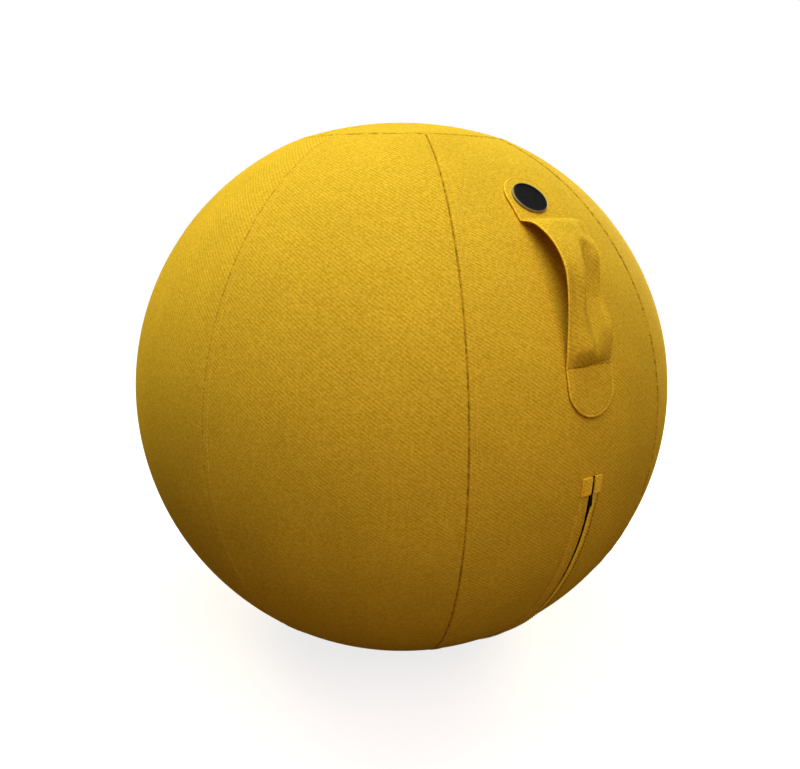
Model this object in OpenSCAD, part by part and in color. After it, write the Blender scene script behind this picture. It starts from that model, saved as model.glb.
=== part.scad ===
// Sitting ball: an inflated bladder in a sewn fabric cover, with a carrying strap and a zip.
// Millimetres, +Z up. The origin is the middle of the flat patch that the ball rests on.
// The strap and the zip are on the front panel, which faces -Y.

/* [Ball] */
// Diameter over the cover
ball_d = 650; // [550:10:750]
// How much lower each cap stands than a full sphere
cap_drop = 4.5; // [2:0.5:7]
// How far the underside is pressed flat by the floor
floor_press = 2.5; // [1:0.5:4]
// Wall of the inflated bladder
bladder_wall = 1; // [0.8:0.1:2]
// Gap between the bladder and the seam allowances
bladder_gap = 0.3; // [0.2:0.1:0.6]

/* [Cover] */
// Thickness of the cover fabric
fabric_t = 1.2; // [0.8:0.1:1.4]
// Width of the fine ditch along each seam
seam_ditch = 0.4; // [0.2:0.1:1]
// Width of the seam allowances that lie under one side of a seam
allowance_w = 10; // [6:1:14]
// Diameter of the round cap at its seam
cap_seam_d = 254; // [220:2:280]

/* [Slit and zip] */
// Distance of the slit from the middle of the front panel
zip_x = 4; // [0:1:8]
// Top end of the slit, measured down the cover from the widest line
slit_top = 16; // [10:1:24]
// Distance of the slit's lower end from the bottom cap's seam
slit_end = 24; // [16:1:120]
// Width of the slit cut in the panel
slit_w = 9.4; // [9:0.2:12]
// Gap between the two folded lips
lip_gap = 4; // [3.8:0.1:5]
// Width of the left lip
lip_left_w = 13; // [9:0.5:16]
// Width of the right lip
lip_right_w = 9; // [8:0.5:12]
// Height that the lips stand above the panel
lip_lift = 0.3; // [0.3:0.05:0.6]
// Height of the two folded tabs over the slit's top end
tab_h = 19; // [14:1:24]
// Corner radius of the tabs
tab_corner = 2.5; // [1:0.5:4]
// Width of each zip tape
tape_w = 13; // [10:1:16]
// Thickness of the zip tape
tape_t = 0.6; // [0.4:0.1:0.7]
// Pitch of the teeth on one side
tooth_pitch = 3; // [2.9:0.1:4]
// Thickness of a tooth
tooth_t = 1.3; // [1.2:0.1:1.5]

/* [Slider and pull] */
// Length of the slider's body
slider_l = 9; // [9:0.5:11]
// Width of the slider at its nose
slider_nose_w = 8; // [7.4:0.2:8.4]
// Thickness of the slider's plates
plate_t = 0.6; // [0.5:0.1:0.65]
// Running gap between the slider and the teeth
slider_gap = 0.2; // [0.15:0.05:0.25]
// Length of the pull from its hinge bar
pull_l = 20; // [14:1:24]
// Width of the pull
pull_w = 3.3; // [3.2:0.1:3.4]
// Thickness of the pull
pull_t = 0.9; // [0.7:0.1:1]

/* [Carrying strap] */
// Width of the strap
strap_w = 58; // [44:2:70]
// Thickness of the strap's outer layer
strap_t = 1.8; // [1.2:0.1:2.4]
// Thickness of the strap's lining
lining_t = 1; // [0.6:0.1:1.4]
// How far the lining's edge is set in from the strap's edge
lining_inset = 1; // [0.5:0.5:6]
// Tip of the strap's upper end, measured up the cover from the widest line
strap_top = 291; // [285:1:300]
// Length of the upper end that is sewn down
sewn_top = 56; // [50:1:62]
// Line where the strap is sewn down below, measured up from the widest line
sewn_fold = 90; // [84:1:100]
// Length of the round tongue below that line
tongue_l = 47; // [40:1:56]
// Height of the hand gap under the top of the arch
arch_h = 24; // [18:1:34]
// Height of the slack bulge just above the lower sewn line
fold_h = 6; // [2:1:10]
// Depth of the hollow that runs down the middle of the strap
hollow_h = 3; // [0:0.5:5]

/* [Badge] */
// Diameter of the plain round badge
badge_d = 38; // [28:1:44]
// Thickness of the badge
badge_t = 2.4; // [2:0.2:3.4]
// Width of the badge's raised rim
badge_rim = 1.4; // [1:0.2:3]
// Distance of the badge's middle from the strap's upper tip
badge_down = 31; // [29:0.5:36]
// Distance of the badge's middle to the left of the strap's middle
badge_left = 4.5; // [0:0.5:6]

/* [Valve] */
// Distance of the valve from the front panel's middle, around the ball
valve_side = 62; // [50:1:80]
// Distance of the valve below the widest line, along the ball
valve_down = 150; // [120:5:180]
// Diameter of the valve's stem hole
valve_bore_d = 7.2; // [6:0.2:9]
// Diameter of the plug's head
plug_head_d = 16; // [14:0.5:20]
// Length of the plug's stem
plug_stem_l = 14; // [10:1:18]

/* [Hidden] */

yellow = [0.80, 0.64, 0.13];
dark_yellow = [0.62, 0.48, 0.10];
black = [0.07, 0.07, 0.07];
grey = [0.45, 0.46, 0.48];
silver = [0.75, 0.75, 0.77];

fine = 180;
small = 48;
gores = 8;
half_gore = 180 / gores;
clear = 0.3;
overrun = 1;

// Outline of the cover: a sphere between the cap seams, and flatter caps beyond them.
ball_r = ball_d / 2;
pole_h = ball_r - cap_drop;
centre_z = pole_h - floor_press;
seam_lat = acos(cap_seam_d / ball_d);
seam_z = ball_r * sin(seam_lat);
cap_rise = pole_h - seam_z;
cap_r = (pow(cap_seam_d / 2, 2) + pow(cap_rise, 2)) / (2 * cap_rise);
cap_centre = cap_r - pole_h;
allowance_t = 2 * fabric_t;
bladder_in = fabric_t + allowance_t + bladder_gap;
floor_z = -pole_h + floor_press;

function deg(along) = along / ball_r * 180 / PI;

// Places along the slit, as angles below the widest line.
slit_a0 = deg(slit_top);
slit_a1 = seam_lat - deg(slit_end);
tape_end = 4;
tape_gap = 0.05;
chain_r = ball_r - fabric_t - tape_gap - tape_t / 2;
plate_in = tooth_t / 2 + slider_gap;
plate_out = plate_in + plate_t;
garage_depth = 5;
slider_a = deg(slit_top + garage_depth + slider_l / 2);
stop_l = 2;
stop_gap = 0.15;
stop_w = 1.6;
top_stop_a = deg(slit_top + garage_depth - stop_gap - stop_l / 2);
bottom_stop_a = slit_a1 - deg(2 * tape_end);
lip_r = ball_r + lip_lift;
tab_r = lip_r + fabric_t + clear;

// One tooth, from the tape's bead to the tip of its head.
bead_x = 1.8;
tooth_out = 2.4;
tooth_base_x = 1.25;
tooth_neck_x = 0.25;
tooth_reach = 0.95;
tooth_base_w = 1.9;
tooth_neck_w = 1.1;
tooth_head_w = 1.6;
tooth_tip_w = 1;
tooth_round = 0.25;
wedge_l = 3.6;
wedge_w = 2.8;
tooth_a = deg(tooth_pitch) * ball_r / chain_r;
first_tooth_a = slider_a - deg(slider_l / 2 - wedge_l - tooth_base_w);
tooth_count = floor((bottom_stop_a - deg(stop_l) - first_tooth_a) / tooth_a);

// The slider's body and the bridge that holds the pull.
flange_t = 0.5;
flange_gap = 0.15;
slider_tail_w = 2 * (tooth_out + slider_gap + flange_t);
bridge_w = 1.2;
bridge_leg = 1;
bridge_half = 2.5;
bridge_t = 0.6;
bar_lift = 0.25;
bar_h = plate_out + bar_lift + pull_t / 2;
bridge_h = bar_h + pull_t / 2 + bar_lift;
pull_bar_y = -0.5;
window_l = 3.3;
window_w = bridge_w + 2 * bar_lift;
grip_hole_d = 1.4;
pull_hang = slider_a;

// The carrying strap, in angles above the widest line.
strap_seat = 0.15;
layer_gap = 0.05;
strap_end_a = deg(strap_top);
arch_a1 = deg(strap_top - sewn_top);
arch_a0 = deg(sewn_fold);
tongue_a = deg(sewn_fold - tongue_l);
arch_top_a = arch_a0 + (arch_a1 - arch_a0) * 0.6;
arch_bend = 0.85;
fold_round_a = deg(9);
hollow_a = arch_a0 + (arch_a1 - arch_a0) * 0.55;
hollow_v = 0.1;
hollow_half = 0.55;
strap_steps = 46;
strap_cells = 12;
strap_tip_w = 5;

// The valve in the bladder's wall.
seat_flange_d = plug_head_d + 12;
seat_flange_t = 2.5;
seat_tube_t = 2.4;
seat_wall = 1.4;
seat_fit = 0.05;
seat_recess = 2.6;
seat_tube_l = 9;
plug_head_t = 2;
plug_fit = 0.08;
plug_tip_l = 3;
plug_side_gap = 0.25;
seat_hole_d = plug_head_d + 2 * plug_side_gap + 2 * seat_wall;

// The outline of the cover, smaller all round by the given amount.
module outline(inset) {
    intersection() {
        circle(r = ball_r - inset, $fn = fine);
        translate([0, -cap_centre]) circle(r = cap_r - inset, $fn = fine);
        translate([0, cap_centre]) circle(r = cap_r - inset, $fn = fine);
        translate([0, floor_z + inset]) square([ball_d, ball_d]);
    }
}

// The part of a half section that lies between two latitudes.
module between(lat0, lat1) {
    far = 2 * ball_d;
    polygon([[0, 0], [far * cos(lat0), far * sin(lat0)], [far, far * sin(lat0)],
        [far, far * sin(lat1)], [far * cos(lat1), far * sin(lat1)]]);
}

// The part of a half section that lies above the given latitude.
module above(lat) {
    far = 2 * ball_d;
    polygon([[0, 0], [far * cos(lat), far * sin(lat)], [0, far]]);
}

// Half section of a skin between two depths under the cover's surface.
module skin(depth0, depth1) {
    difference() {
        outline(depth0);
        outline(depth1);
    }
}

// Turns a half section round the ball's upright axis.
module turned() {
    translate([0, 0, centre_z]) rotate_extrude($fn = fine) children();
}

// Sweeps a half section round the ball's cross axis, between two angles below the widest line.
// In the section, X is the distance from that axis and Y is the place along it.
module swept(a0, a1) {
    translate([0, 0, centre_z]) rotate([-90, 0, 0]) rotate([0, 90, 0]) rotate([0, 0, a0])
        rotate_extrude(angle = a1 - a0, $fn = 2 * fine) children();
}

// Half section of a layer between two radii, as wide as from x0 to x1.
module layer(r0, r1, x0, x1) {
    intersection() {
        difference() {
            circle(r = r1, $fn = 4 * fine);
            circle(r = r0, $fn = 4 * fine);
        }
        translate([0, x0]) square([ball_d, x1 - x0]);
    }
}

// The same, beside the zip: side is -1 for left and 1 for right, near and far from its middle.
module side_layer(side, r0, r1, near, far) {
    layer(r0, r1, zip_x + (side < 0 ? -far : near), zip_x + (side < 0 ? -near : far));
}

// A place on the front meridian: local Z points outwards, local Y up along the cover.
module at_front(down, r, x = 0) {
    translate([x, 0, centre_z]) rotate([90 + down, 0, 0]) translate([0, 0, r]) children();
}

// Wedge of space that one gore fills, set in from both seams.
module gore_space(inset) {
    apex = inset / sin(half_gore);
    far = 2 * ball_d;
    translate([0, 0, centre_z - ball_r]) linear_extrude(ball_d)
        polygon([[0, -apex], [-far * sin(half_gore), -apex - far * cos(half_gore)],
            [far * sin(half_gore), -apex - far * cos(half_gore)]]);
}

// Strip along the gore's left seam, where the allowances of both gores lie.
module allowance_space() {
    far = 2 * ball_d;
    translate([0, 0, centre_z - ball_r]) rotate([0, 0, -half_gore])
        translate([seam_ditch, -far, 0]) cube([allowance_w, far, ball_d]);
}

module gore_body() {
    cap_gap = deg(seam_ditch / 2);
    intersection() {
        turned() intersection() {
            skin(0, fabric_t);
            between(-seam_lat + cap_gap, seam_lat - cap_gap);
        }
        gore_space(seam_ditch / 2);
    }
    intersection() {
        turned() intersection() {
            skin(fabric_t / 2, fabric_t + allowance_t);
            between(-seam_lat + 2 * cap_gap, seam_lat - 2 * cap_gap);
        }
        allowance_space();
    }
}

module gore(place) {
    color(yellow) rotate([0, 0, place * 2 * half_gore]) gore_body();
}

module front_gore() {
    color(yellow) difference() {
        gore_body();
        swept(slit_a0, slit_a1)
            side_layer(1, ball_r - 2 * fabric_t, ball_r + overrun, -slit_w / 2, slit_w / 2);
    }
}

// A round cap, with the allowances of its seam lying under its edge.
module cap_section() {
    cap_gap = deg(seam_ditch / 2);
    intersection() {
        skin(0, fabric_t);
        above(seam_lat + cap_gap);
    }
    intersection() {
        skin(fabric_t / 2, fabric_t + allowance_t);
        above(seam_lat + 2 * cap_gap);
        translate([cap_seam_d / 2 - allowance_w, 0]) square([ball_d, ball_d]);
    }
}

module top_cap() {
    color(yellow) turned() cap_section();
}

module bottom_cap() {
    color(yellow) turned() {
        intersection() {
            skin(0, fabric_t);
            mirror([0, 1]) above(seam_lat + deg(seam_ditch / 2));
        }
        intersection() {
            skin(fabric_t / 2, fabric_t + allowance_t);
            mirror([0, 1]) above(seam_lat + deg(seam_ditch));
            translate([cap_seam_d / 2 - allowance_w, -ball_d]) square([ball_d, ball_d]);
        }
    }
}

// The valve's place on the bladder.
module at_valve(r) {
    rotate([0, 0, deg(valve_side)]) at_front(deg(valve_down), r) children();
}

module bladder() {
    color(grey) difference() {
        turned() skin(bladder_in, bladder_in + bladder_wall);
        at_valve(0) cylinder(h = ball_r + overrun, d = seat_hole_d, $fn = small);
    }
}

// A moulded button: a flange under the bladder's wall, a round recess and a tube.
module seat_section() {
    skin_r = ball_r - bladder_in;
    recess_floor = skin_r - seat_recess;
    recess_r = plug_head_d / 2 + plug_side_gap;
    difference() {
        union() {
            intersection() {
                circle(r = skin_r - bladder_wall - seat_fit, $fn = 4 * fine);
                translate([0, recess_floor - seat_flange_t]) square([seat_flange_d / 2, ball_r]);
            }
            intersection() {
                circle(r = skin_r, $fn = 4 * fine);
                translate([0, recess_floor - seat_flange_t]) square([seat_hole_d / 2 - seat_fit, ball_r]);
            }
            translate([0, recess_floor - seat_tube_l])
                square([valve_bore_d / 2 + seat_tube_t, seat_tube_l]);
        }
        translate([-overrun, recess_floor]) square([recess_r + overrun, ball_r]);
        translate([-overrun, 0]) square([valve_bore_d / 2 + overrun, ball_r]);
    }
}

module valve_seat() {
    color(black) at_valve(0) rotate_extrude($fn = small) seat_section();
}

module valve_plug() {
    recess_floor = ball_r - bladder_in - seat_recess;
    stem_r = valve_bore_d / 2 - plug_fit;
    color(silver) at_valve(recess_floor + plug_fit) rotate_extrude($fn = small)
        polygon([[0, -plug_stem_l], [stem_r * 0.6, -plug_stem_l], [stem_r, -plug_stem_l + plug_tip_l],
            [stem_r, 0], [plug_head_d / 2, 0], [plug_head_d / 2, plug_head_t / 2],
            [plug_head_d / 2 - plug_head_t / 2, plug_head_t], [0, plug_head_t]]);
}

module tape_section(side) {
    side_layer(side, chain_r - tape_t / 2, chain_r + tape_t / 2, bead_x, bead_x + tape_w);
}

module zip_tape(side) {
    color(black) swept(slit_a0 - deg(tape_end), slit_a1 + deg(tape_end)) tape_section(side);
}

module tooth() {
    head = tooth_head_w / 2;
    neck = tooth_neck_w / 2;
    base = tooth_base_w / 2;
    tip = tooth_tip_w / 2;
    edge = [[tooth_out, base], [tooth_base_x, base], [tooth_base_x - tooth_round / 2, neck],
        [tooth_neck_x, neck], [-tooth_neck_x + tooth_round / 2, head],
        [-tooth_reach + tooth_round, head], [-tooth_reach, tip]];
    back = [for (i = [len(edge) - 1:-1:0]) [edge[i][0], -edge[i][1]]];
    linear_extrude(tooth_t, center = true) polygon(concat(edge, back));
}

// The teeth grip the tape's edge, so each has a slot the tape fills.
module zip_teeth(side) {
    first = first_tooth_a + (side < 0 ? tooth_a / 2 : 0);
    color(grey) difference() {
        for (i = [0:tooth_count - 1]) {
            at_front(first + i * tooth_a, chain_r, zip_x) mirror([side < 0 ? 1 : 0, 0, 0]) tooth();
        }
        swept(slit_a0, slit_a1) tape_section(side);
    }
}

module zip_top_stops() {
    color(grey) for (side = [-1, 1]) {
        at_front(top_stop_a, chain_r + tape_t / 2, zip_x + side * (bead_x + stop_w / 2))
            translate([-stop_w / 2, -stop_l / 2, 0]) cube([stop_w, stop_l, tooth_t / 2]);
    }
}

module zip_bottom_stop() {
    color(grey) at_front(bottom_stop_a, chain_r + tape_t / 2, zip_x)
        translate([-tooth_out, -stop_l / 2, 0]) cube([2 * tooth_out, stop_l, tooth_t / 2]);
}

// Outline of the slider's plates: broad at the nose, narrow at the tail.
module slider_outline(inset) {
    nose = slider_nose_w / 2 - inset;
    tail = slider_tail_w / 2 - inset;
    half = slider_l / 2;
    shoulder = half - wedge_l;
    corner = 1;
    polygon([[-tail, -half], [tail, -half], [tail, shoulder - 1.5 * corner], [nose, half - corner],
        [nose - corner, half], [-nose + corner, half], [-nose, half - corner],
        [-tail, shoulder - 1.5 * corner]]);
}

module slider_plate() {
    translate([0, 0, plate_in]) linear_extrude(plate_t) slider_outline(0);
    flange_h = plate_in - tape_t / 2 - flange_gap;
    translate([0, 0, plate_in - flange_h]) linear_extrude(flange_h + plate_t / 2) difference() {
        slider_outline(0);
        slider_outline(flange_t);
        translate([-slider_nose_w, slider_l / 2 - 1.2 * flange_t]) square([2 * slider_nose_w, slider_l]);
        translate([-slider_nose_w, -slider_l / 2 - overrun]) square([2 * slider_nose_w, overrun + flange_t]);
    }
}

// The bridge arches over the pull's bar.
module slider_bridge() {
    translate([-bridge_w / 2, pull_bar_y, 0]) rotate([90, 0, 90]) linear_extrude(bridge_w) difference() {
        translate([-bridge_half, plate_out - overrun / 2])
            square([2 * bridge_half, bridge_h + bridge_t - plate_out + overrun / 2]);
        translate([-bridge_half + bridge_leg, plate_out])
            square([2 * (bridge_half - bridge_leg), bridge_h - plate_out]);
    }
}

module zip_slider() {
    wedge_y = slider_l / 2 - wedge_l;
    color(black) at_front(slider_a, chain_r, zip_x) {
        slider_plate();
        mirror([0, 0, 1]) slider_plate();
        translate([0, 0, -plate_in - plate_t / 2]) linear_extrude(2 * plate_in + plate_t)
            polygon([[0, wedge_y], [wedge_w / 2, wedge_y + wedge_l / 2],
                [wedge_w / 2, wedge_y + wedge_l], [-wedge_w / 2, wedge_y + wedge_l],
                [-wedge_w / 2, wedge_y + wedge_l / 2]]);
        slider_bridge();
    }
}

// The pull hangs straight down from its bar, which lies under the bridge.
module zip_pull() {
    end_r = pull_w / 2;
    color(black) at_front(slider_a, chain_r, zip_x) translate([0, pull_bar_y, bar_h])
        rotate([-pull_hang, 0, 0]) {
            rotate([0, 90, 0]) cylinder(h = window_w + pull_t, d = pull_t, center = true, $fn = small);
            translate([0, 0, -pull_t / 2]) linear_extrude(pull_t) difference() {
                union() {
                    translate([-end_r, -pull_l + end_r]) square([pull_w, pull_l - end_r]);
                    translate([0, -pull_l + end_r]) circle(r = end_r, $fn = small);
                }
                translate([-window_w / 2, -window_l]) square([window_w, window_l + overrun]);
                translate([0, -pull_l + pull_w]) circle(d = grip_hole_d, $fn = small);
            }
        }
}

// A folded lip that covers half of the slit. Its inner edge is the fold.
module slit_lip(side, width) {
    fold_r = fabric_t / 2;
    fold_x = lip_gap / 2 + fold_r;
    color(yellow) swept(slit_a0 - deg(overrun), slit_a1 + deg(tape_end)) {
        side_layer(side, lip_r, lip_r + fabric_t, fold_x, lip_gap / 2 + width);
        translate([lip_r + fold_r, zip_x + side * fold_x]) circle(r = fold_r, $fn = small);
    }
}

// A folded tab sewn over the top end of a lip, with two rounded outer corners.
module garage_tab(side, width) {
    tab_a0 = slit_a0 - deg(2 * overrun);
    far_x = lip_gap / 2 + width;
    color(yellow) intersection() {
        swept(tab_a0 - deg(tab_h), slit_a0 + deg(2 * tab_h))
            side_layer(side, tab_r, tab_r + fabric_t, 0, 2 * far_x);
        at_front(tab_a0 + deg(tab_h / 2), 0, zip_x) mirror([side < 0 ? 1 : 0, 0, 0])
            linear_extrude(ball_d) union() {
                translate([lip_gap / 2, -tab_h / 2]) square([width - tab_corner, tab_h]);
                translate([far_x - 2 * tab_corner, -tab_h / 2 + tab_corner])
                    square([2 * tab_corner, tab_h - 2 * tab_corner]);
                for (y = [-1, 1])
                    translate([far_x - tab_corner, y * (tab_h / 2 - tab_corner)])
                        circle(r = tab_corner, $fn = small);
            }
    }
}

// Height of the strap above the cover at an angle above the widest line. It rises steeply
// from the upper sewn end, and falls almost straight to the lower sewn line. In the middle
// of its width it bulges out just above that line, and is hollow along the rest.
function hump(x) = abs(x) < 1 ? pow(cos(90 * x), 2) : 0;
function rise(s) = pow(sin(90 * s), 0.8);
function fall(t) = t < arch_bend ? 2 * t / (1 + arch_bend) : 1 - pow(1 - t, 2) / (1 - pow(arch_bend, 2));
function arch(a) = a <= arch_a0 || a >= arch_a1 ? 0
    : arch_h * (a > arch_top_a ? rise((arch_a1 - a) / (arch_a1 - arch_top_a))
    : fall((a - arch_a0) / (arch_top_a - arch_a0)));
function bulge(a, v) = let (up = (a - arch_a0) / fold_round_a)
    up <= 0 ? 0 : fold_h * hump(v) * (up < 1 ? sqrt(1 - pow(1 - up, 2)) : hump((up - 1) / 3));
function hollow(a, v) = hollow_h * hump((v - hollow_v) / hollow_half)
    * hump((a - hollow_a) / (arch_a1 - hollow_a));
function strap_lift(a, v) = max(0, arch(a) + bulge(a, v) - hollow(a, v));

// Half of the strap's width at an angle: full, with a round tip at each end.
function tip_half(from_tip) = let (half = strap_w / 2)
    from_tip >= half ? half : sqrt(max(0, half * half - pow(half - from_tip, 2)));
function strap_half(a) = max(strap_tip_w / 2,
    min(tip_half((strap_end_a - a) / deg(1)), tip_half((a - tongue_a) / deg(1))));

// The strap and its lining share one grid, of which the lining leaves out the outermost
// rows and columns: these lie between its edge and the strap's.
function strap_row(i) = i == 0 ? tongue_a : i == strap_steps ? strap_end_a
    : tongue_a + deg(lining_inset)
    + (strap_end_a - tongue_a - 2 * deg(lining_inset)) * (i - 1) / (strap_steps - 2);
function strap_x(a, j) = let (half = strap_half(a), inner = max(half / 2, half - lining_inset))
    j == 0 ? -half : j == strap_cells ? half : inner * (2 * (j - 1) / (strap_cells - 2) - 1);
function on_front(a, x, r) = let (flat_r = sqrt(r * r - x * x))
    [x, -flat_r * cos(a), centre_z + flat_r * sin(a)];

// A layer of the strap, from r0 to r1 above the cover where it lies flat.
module strap_layer(skip, r0, r1) {
    row = strap_cells + 1 - 2 * skip;
    rows = strap_steps + 1 - 2 * skip;
    sheet = rows * row;
    points = [for (r = [r0, r1]) for (i = [skip:strap_steps - skip]) let (a = strap_row(i))
        for (j = [skip:strap_cells - skip]) let (x = strap_x(a, j))
            on_front(a, x, ball_r + r + strap_lift(a, 2 * x / strap_w))];
    under = [for (i = [0:rows - 2]) for (j = [0:row - 2])
        let (p = i * row + j) each [[p, p + 1, p + row + 1], [p, p + row + 1, p + row]]];
    over = [for (f = under) [f[2] + sheet, f[1] + sheet, f[0] + sheet]];
    sides = [for (i = [0:rows - 2]) each let (p = i * row, q = p + row - 1)
        [[p, p + row, p + row + sheet], [p, p + row + sheet, p + sheet],
        [q + row, q, q + sheet], [q + row, q + sheet, q + row + sheet]]];
    ends = [for (j = [0:row - 2]) each let (p = j, q = (rows - 1) * row + j)
        [[p + 1, p, p + sheet], [p + 1, p + sheet, p + 1 + sheet],
        [q, q + 1, q + 1 + sheet], [q, q + 1 + sheet, q + sheet]]];
    polyhedron(points = points, faces = concat(under, over, sides, ends), convexity = 6);
}

module handle_lining() {
    color(dark_yellow) strap_layer(1, strap_seat, strap_seat + lining_t);
}

module handle_strap() {
    seat = strap_seat + lining_t + layer_gap;
    color(yellow) strap_layer(0, seat, seat + strap_t);
}

// A plain disc with a bevelled rim, hollowed underneath to follow the strap.
module badge() {
    seat = ball_r + strap_seat + lining_t + layer_gap + strap_t + layer_gap;
    top = seat + badge_t;
    bevel = badge_rim / 2;
    face = seat + badge_t / 2;
    half = badge_d / 2;
    color(black) at_front(-deg(strap_top - badge_down), 0) rotate([0, -deg(badge_left), 0])
        rotate_extrude($fn = 2 * small) difference() {
            polygon([[0, seat - badge_t], [half, seat - badge_t], [half, top - bevel],
                [half - bevel, top], [half - badge_rim, top], [half - badge_rim - bevel / 2, face],
                [0, face]]);
            circle(r = seat, $fn = 4 * fine);
        }
}

bladder();
valve_seat();
valve_plug();
front_gore();  // gore_1
gore(1);  // gore_2
gore(2);  // gore_3
gore(3);  // gore_4
gore(4);  // gore_5
gore(5);  // gore_6
gore(6);  // gore_7
gore(7);  // gore_8
top_cap();
bottom_cap();
zip_tape(-1);  // zip_tape_left
zip_tape(1);  // zip_tape_right
zip_teeth(-1);  // zip_teeth_left
zip_teeth(1);  // zip_teeth_right
zip_top_stops();
zip_bottom_stop();
zip_slider();
zip_pull();
slit_lip(-1, lip_left_w);  // slit_lip_left
slit_lip(1, lip_right_w);  // slit_lip_right
garage_tab(-1, lip_left_w);  // garage_tab_left
garage_tab(1, lip_right_w);  // garage_tab_right
handle_lining();
handle_strap();
badge();
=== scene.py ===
"""A sitting ball in a sewn, mustard yellow cover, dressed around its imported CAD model.

Metres, +Z up, the ball's front panel faces -Y. Places on the cover are given in two ways:
an azimuth from the front towards +X with a latitude, or, near the middle of the front panel,
an angle up the front with a distance to the right.
"""

import math

import bpy
import numpy as np
from mathutils import Matrix, Vector

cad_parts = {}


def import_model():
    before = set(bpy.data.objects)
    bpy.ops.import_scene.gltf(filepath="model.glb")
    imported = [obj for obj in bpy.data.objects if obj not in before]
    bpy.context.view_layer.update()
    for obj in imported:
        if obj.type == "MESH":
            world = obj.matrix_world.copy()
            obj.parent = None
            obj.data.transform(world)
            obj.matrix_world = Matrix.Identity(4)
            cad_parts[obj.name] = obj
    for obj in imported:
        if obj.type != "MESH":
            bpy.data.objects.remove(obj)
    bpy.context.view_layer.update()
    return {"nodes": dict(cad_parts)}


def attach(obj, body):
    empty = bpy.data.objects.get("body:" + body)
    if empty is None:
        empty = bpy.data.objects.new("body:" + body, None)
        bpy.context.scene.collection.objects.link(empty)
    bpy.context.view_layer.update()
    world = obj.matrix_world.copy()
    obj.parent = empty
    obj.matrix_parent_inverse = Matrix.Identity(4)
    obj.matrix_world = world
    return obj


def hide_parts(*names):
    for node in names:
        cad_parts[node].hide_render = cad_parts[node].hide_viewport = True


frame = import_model()

# The ball, from the CAD model's own sizes.
MM = 0.001
BALL_R = 325 * MM
CENTRE_Z = 318 * MM
CENTRE = np.array([0, 0, CENTRE_Z])
FABRIC = 1.2 * MM
GORES = 8
HALF_GORE = math.pi / GORES
CAP_SEAM_R = 127 * MM
SEAM_LAT = math.acos(CAP_SEAM_R / BALL_R)
CAP_R = 389.3 * MM
POLE_H = 320.5 * MM
CAP_CENTRE = CAP_R - POLE_H
ALLOWANCE_W = 10 * MM
ALLOWANCE_T = 2.4 * MM
BLADDER_IN = 3.9 * MM
BLADDER_R = BALL_R - BLADDER_IN
BLADDER_WALL = 1 * MM

# The slit, its lips and tabs, and the zip.
ZIP_X = 4 * MM
SLIT_TOP = 16 * MM
SLIT_BOTTOM = SEAM_LAT * BALL_R - 24 * MM
SLIT_HALF = 4.7 * MM
LIP_GAP = 4 * MM
LIP_WIDTHS = {"left": 13 * MM, "right": 9 * MM}
LIP_H = 0.3 * MM
TAB_H = 19 * MM
TAB_LIFT = 1.8 * MM
TAPE_IN = 1.85 * MM
TAPE_T = 0.6 * MM
BEAD_X = 1.8 * MM
TAPE_W = 13 * MM

# The strap, as lengths up the cover from the widest line.
STRAP_HALF = 29 * MM
STRAP_T = 1.8 * MM
STRAP_SEAT = 1.2 * MM
LINING_T = 1 * MM
LINING_SEAT = 0.15 * MM
LINING_INSET = 1 * MM
STRAP_TOP = 291 * MM
STRAP_TONGUE = 43 * MM
ARCH_TOP = 235 * MM
ARCH_BOTTOM = 90 * MM
BADGE_DOWN = 31 * MM
BADGE_UP = STRAP_TOP - BADGE_DOWN
BADGE_LEFT = 4.5 * MM

# The photograph's camera.
CAMERA_AZIMUTH = math.radians(-32.8)
CAMERA_ELEVATION = math.radians(14.85)
CAMERA_DISTANCE = 0.8992
CAMERA_ROLL = math.radians(0.364)
CAMERA_FOCAL_PX = 686.5
PHOTO_WIDTH = 800
BALL_OFFSET_PX = (1.62, 0.43)
SENSOR_MM = 36


# Sizes, places on the cover and shared curves

def mm(*sizes):
    """Millimetres in metres, as an array."""
    return np.array(sizes) * MM


def on_ball(azimuth, latitude, height):
    """Point on a sphere of the ball's radius plus a height: azimuth from -Y towards +X."""
    r = BALL_R + height
    flat = r * np.cos(latitude)
    return np.stack([flat * np.sin(azimuth), -flat * np.cos(azimuth),
                     CENTRE_Z + r * np.sin(latitude)], axis=-1)


def on_front(up, x, height):
    """Point near the front's middle: up is the length along the cover above the widest line
    over the ball's radius, as an angle; x is the distance to the right. All points of one x
    lie on a circle round the cross axis, at the ball's radius plus a height from the centre."""
    r = BALL_R + height
    flat = np.sqrt(r * r - x * x)
    angle = up / BALL_R
    return np.stack([x + 0 * flat * angle, -flat * np.cos(angle),
                     CENTRE_Z + flat * np.sin(angle)], axis=-1)


def smooth(x):
    """0 below 0, 1 above 1, and an S curve between."""
    t = np.clip(x, 0, 1)
    return t * t * (3 - 2 * t)


def hump(x):
    """A squared cosine: 1 at 0, 0 from 1 away."""
    return np.where(np.abs(x) < 1, np.cos(0.5 * np.pi * np.clip(x, -1, 1)) ** 2, 0)


def bump(x, middle, reach):
    """A hump about a middle, 0 from a reach away."""
    return hump((x - middle) / reach)


def ramp(x, start, reach):
    """An S curve from 0 at a start to 1 a reach further, to either side."""
    return smooth((x - start) / reach)


def rounded(x):
    """A quarter circle's rise: 0 below 0, steep from 0 on, and 1 above 1."""
    return np.sqrt(np.clip(1 - (1 - np.clip(x, 0, 1)) ** 2, 0, 1))


def grid(a, b):
    """Two arrays (rows, columns): a down the rows and b along the columns."""
    return np.meshgrid(a, b, indexing="ij")


def circle(count):
    """Even angles once round, the last one short of the first."""
    return np.linspace(0, 2 * np.pi, count, endpoint=False)


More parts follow.
